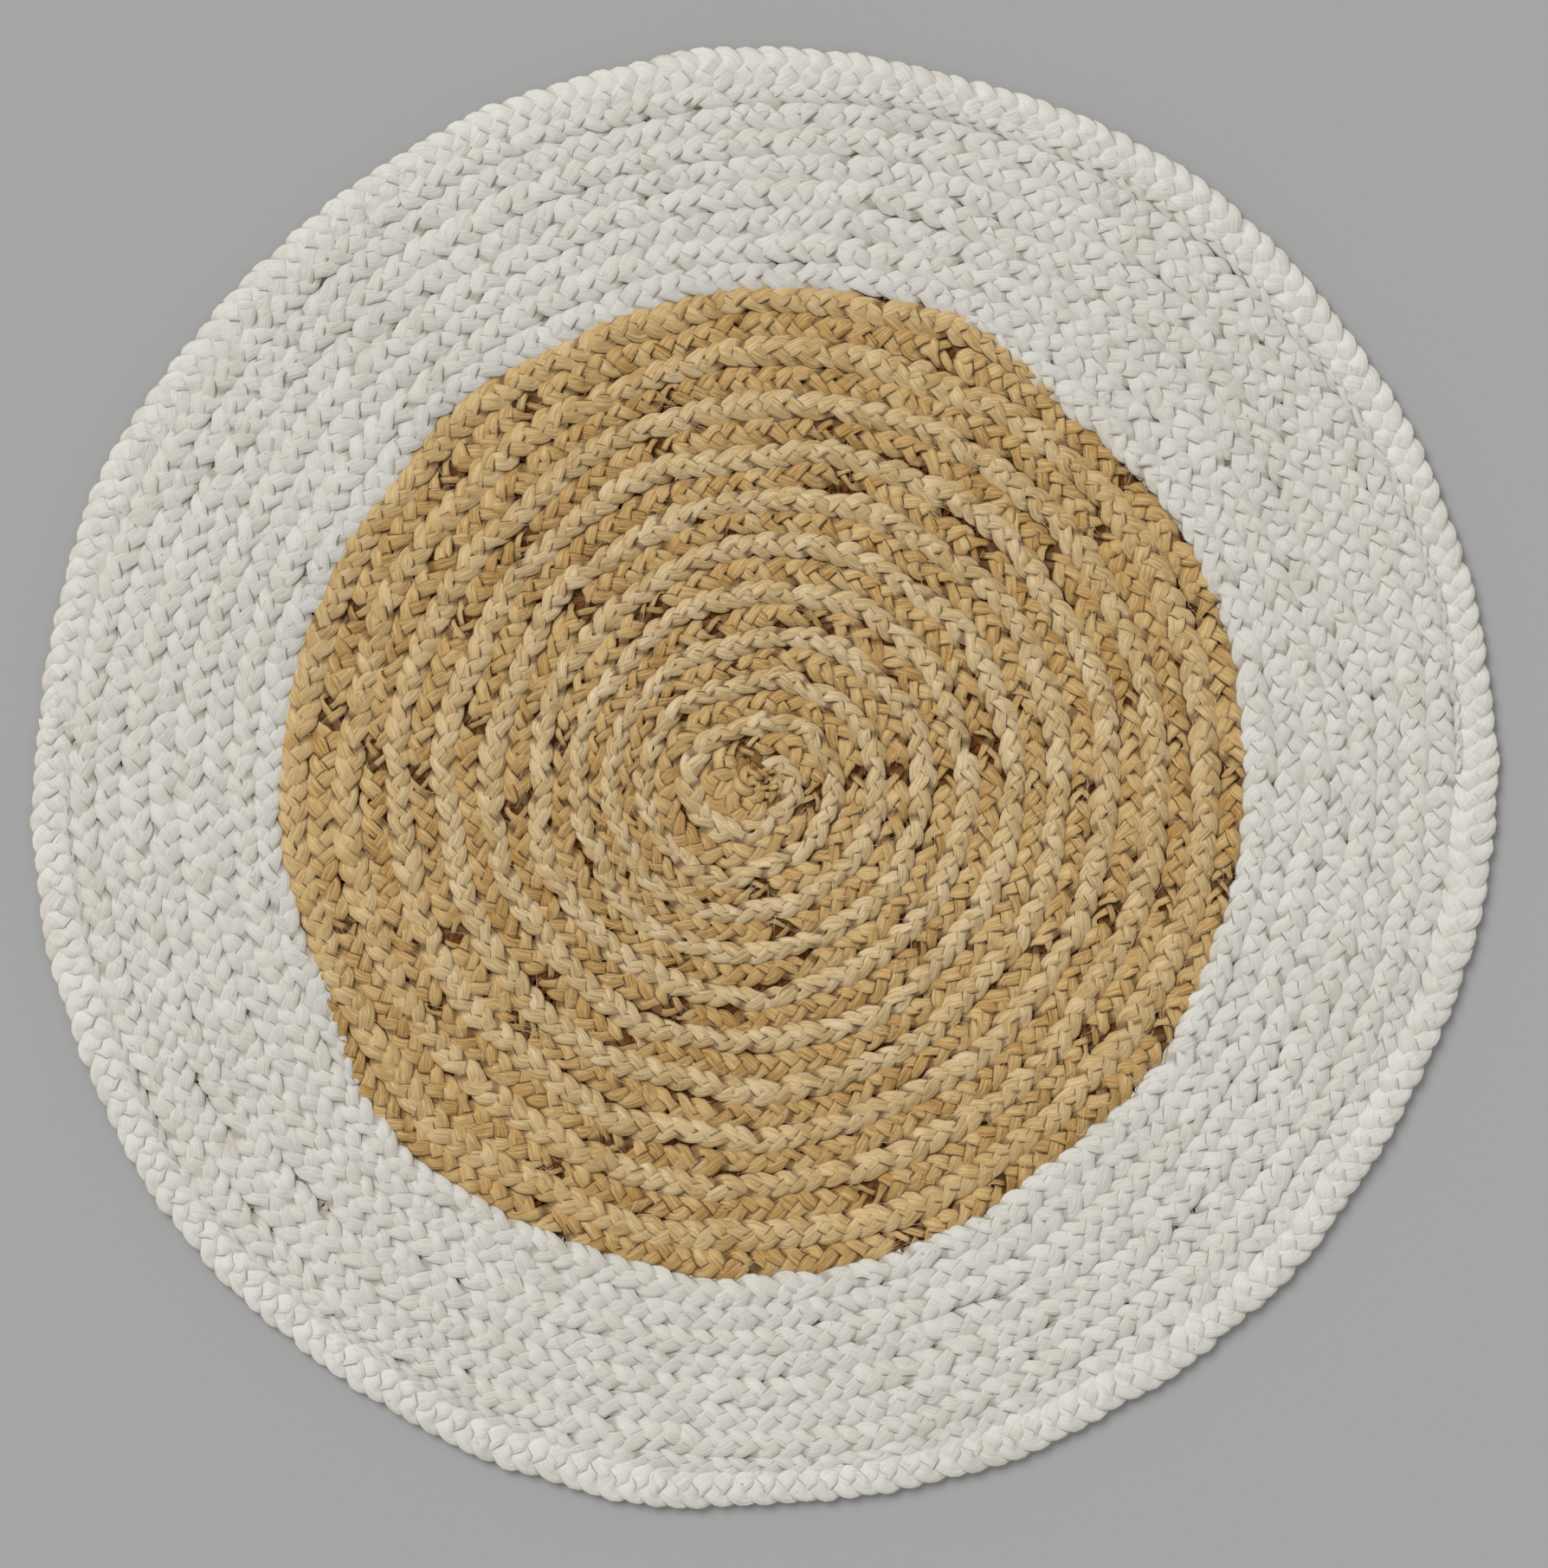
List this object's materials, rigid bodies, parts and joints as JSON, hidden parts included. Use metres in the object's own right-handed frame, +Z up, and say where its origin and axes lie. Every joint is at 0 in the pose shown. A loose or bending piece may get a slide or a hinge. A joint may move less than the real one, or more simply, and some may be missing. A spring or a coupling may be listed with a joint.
{
  "type": "area rug",
  "caption": "Round rug of jute plaits wound in a spiral and sewn, with a natural brown middle, a wide bleached white band and an edging plait.",
  "frame": {"origin": "centre of the rug, on the floor that it lies on", "axes": "+Z up through the rug's thickness; +X and +Y across the rug, with the plaits starting on the +Y side of the centre"},
  "size_m": [0.9, 0.9, 0.01],
  "materials": {
    "natural_jute_raised": "matt plaited jute fibre, rubbed lighter",
    "natural_jute": "matt plaited jute fibre",
    "white_jute": "matt bleached jute fibre",
    "white_jute_edging": "matt bleached jute fibre",
    "natural_thread": "twisted jute thread",
    "white_thread": "twisted bleached thread"
  },
  "bodies": {
    "root": {"centre_start": "natural_jute", "natural_raised_plait": "natural_jute_raised", "natural_sunken_plait": "natural_jute", "white_raised_plait": "white_jute", "white_sunken_plait": "white_jute", "edging_plait": "white_jute_edging", "edging_join": "white_thread", "raised_colour_join": "natural_thread", "sunken_colour_join": "natural_thread", "raised_end_whipping": "white_thread", "sunken_end_whipping": "white_thread", "natural_raised_seam_thread": "natural_thread", "natural_sunken_seam_thread": "natural_thread", "white_raised_seam_thread": "white_thread", "white_sunken_seam_thread": "white_thread", "edging_seam_thread": "white_thread"}
  },
  "joints": []
}
